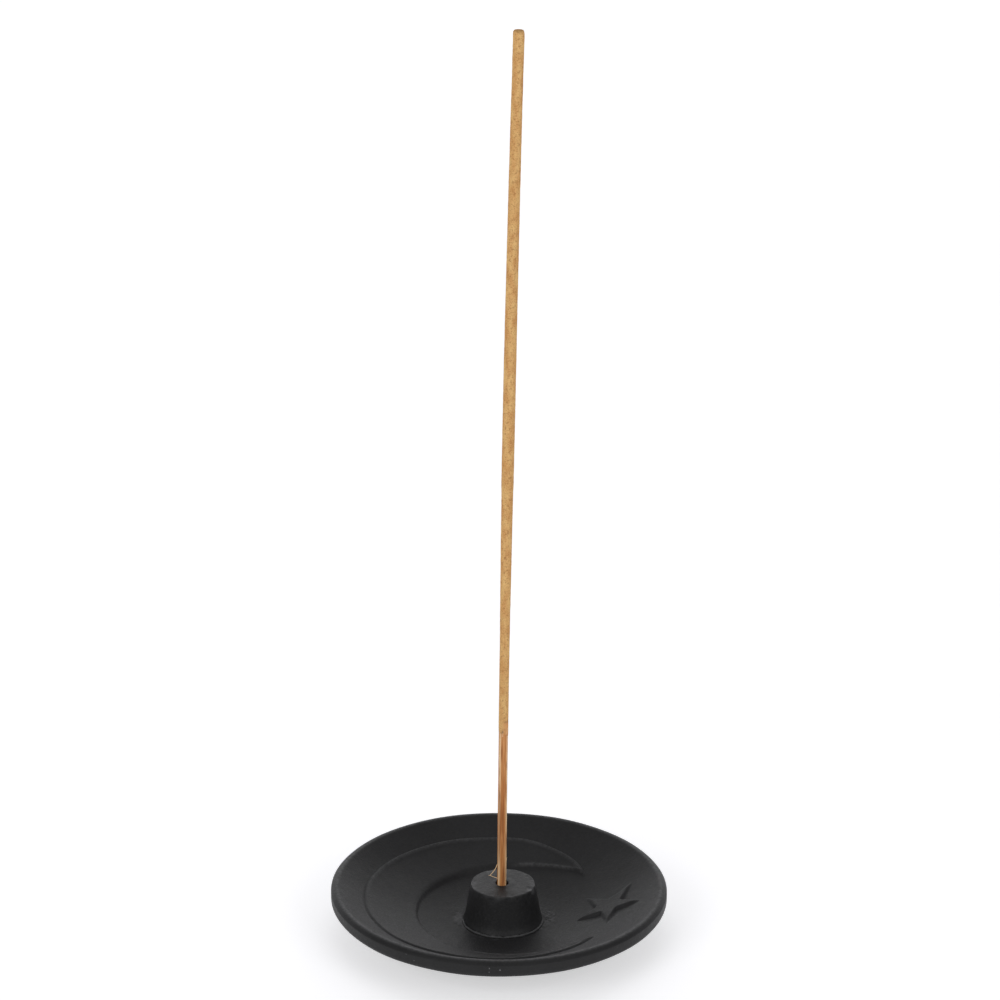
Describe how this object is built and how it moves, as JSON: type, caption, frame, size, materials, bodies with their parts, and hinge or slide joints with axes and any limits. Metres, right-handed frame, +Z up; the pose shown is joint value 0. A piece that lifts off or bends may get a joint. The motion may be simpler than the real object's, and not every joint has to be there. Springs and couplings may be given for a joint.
{
  "type": "incense burner",
  "caption": "Shallow round clay saucer with a raised moon and star and a central cone that holds an upright incense stick and catches its ash.",
  "frame": {"origin": "centre of the saucer's flat underside, on the table", "axes": "+Z up; +X from the saucer's centre towards the star, with the moon's hollow facing it; the stick leans slightly towards +X"},
  "size_m": [0.1016, 0.1016, 0.281],
  "materials": {
    "clay_dish": "matt black unglazed clay",
    "clay_holder": "matt black unglazed clay, handled smooth on its wall",
    "clay_slip": "matt black dried clay slip",
    "bamboo": "bare split bamboo",
    "incense_paste": "matt dried wood-powder paste"
  },
  "bodies": {
    "burner": {"dish": "clay_dish", "stick_holder": "clay_holder", "slip_bead": "clay_slip"},
    "stick": {"bamboo_core": "bamboo", "incense_coating": "incense_paste"}
  },
  "joints": [
    {"name": "stick_lift", "type": "slide", "parent": "burner", "child": "stick", "axis": [0.0044, 0, 1], "range_m": [0, 0.03]}
  ]
}
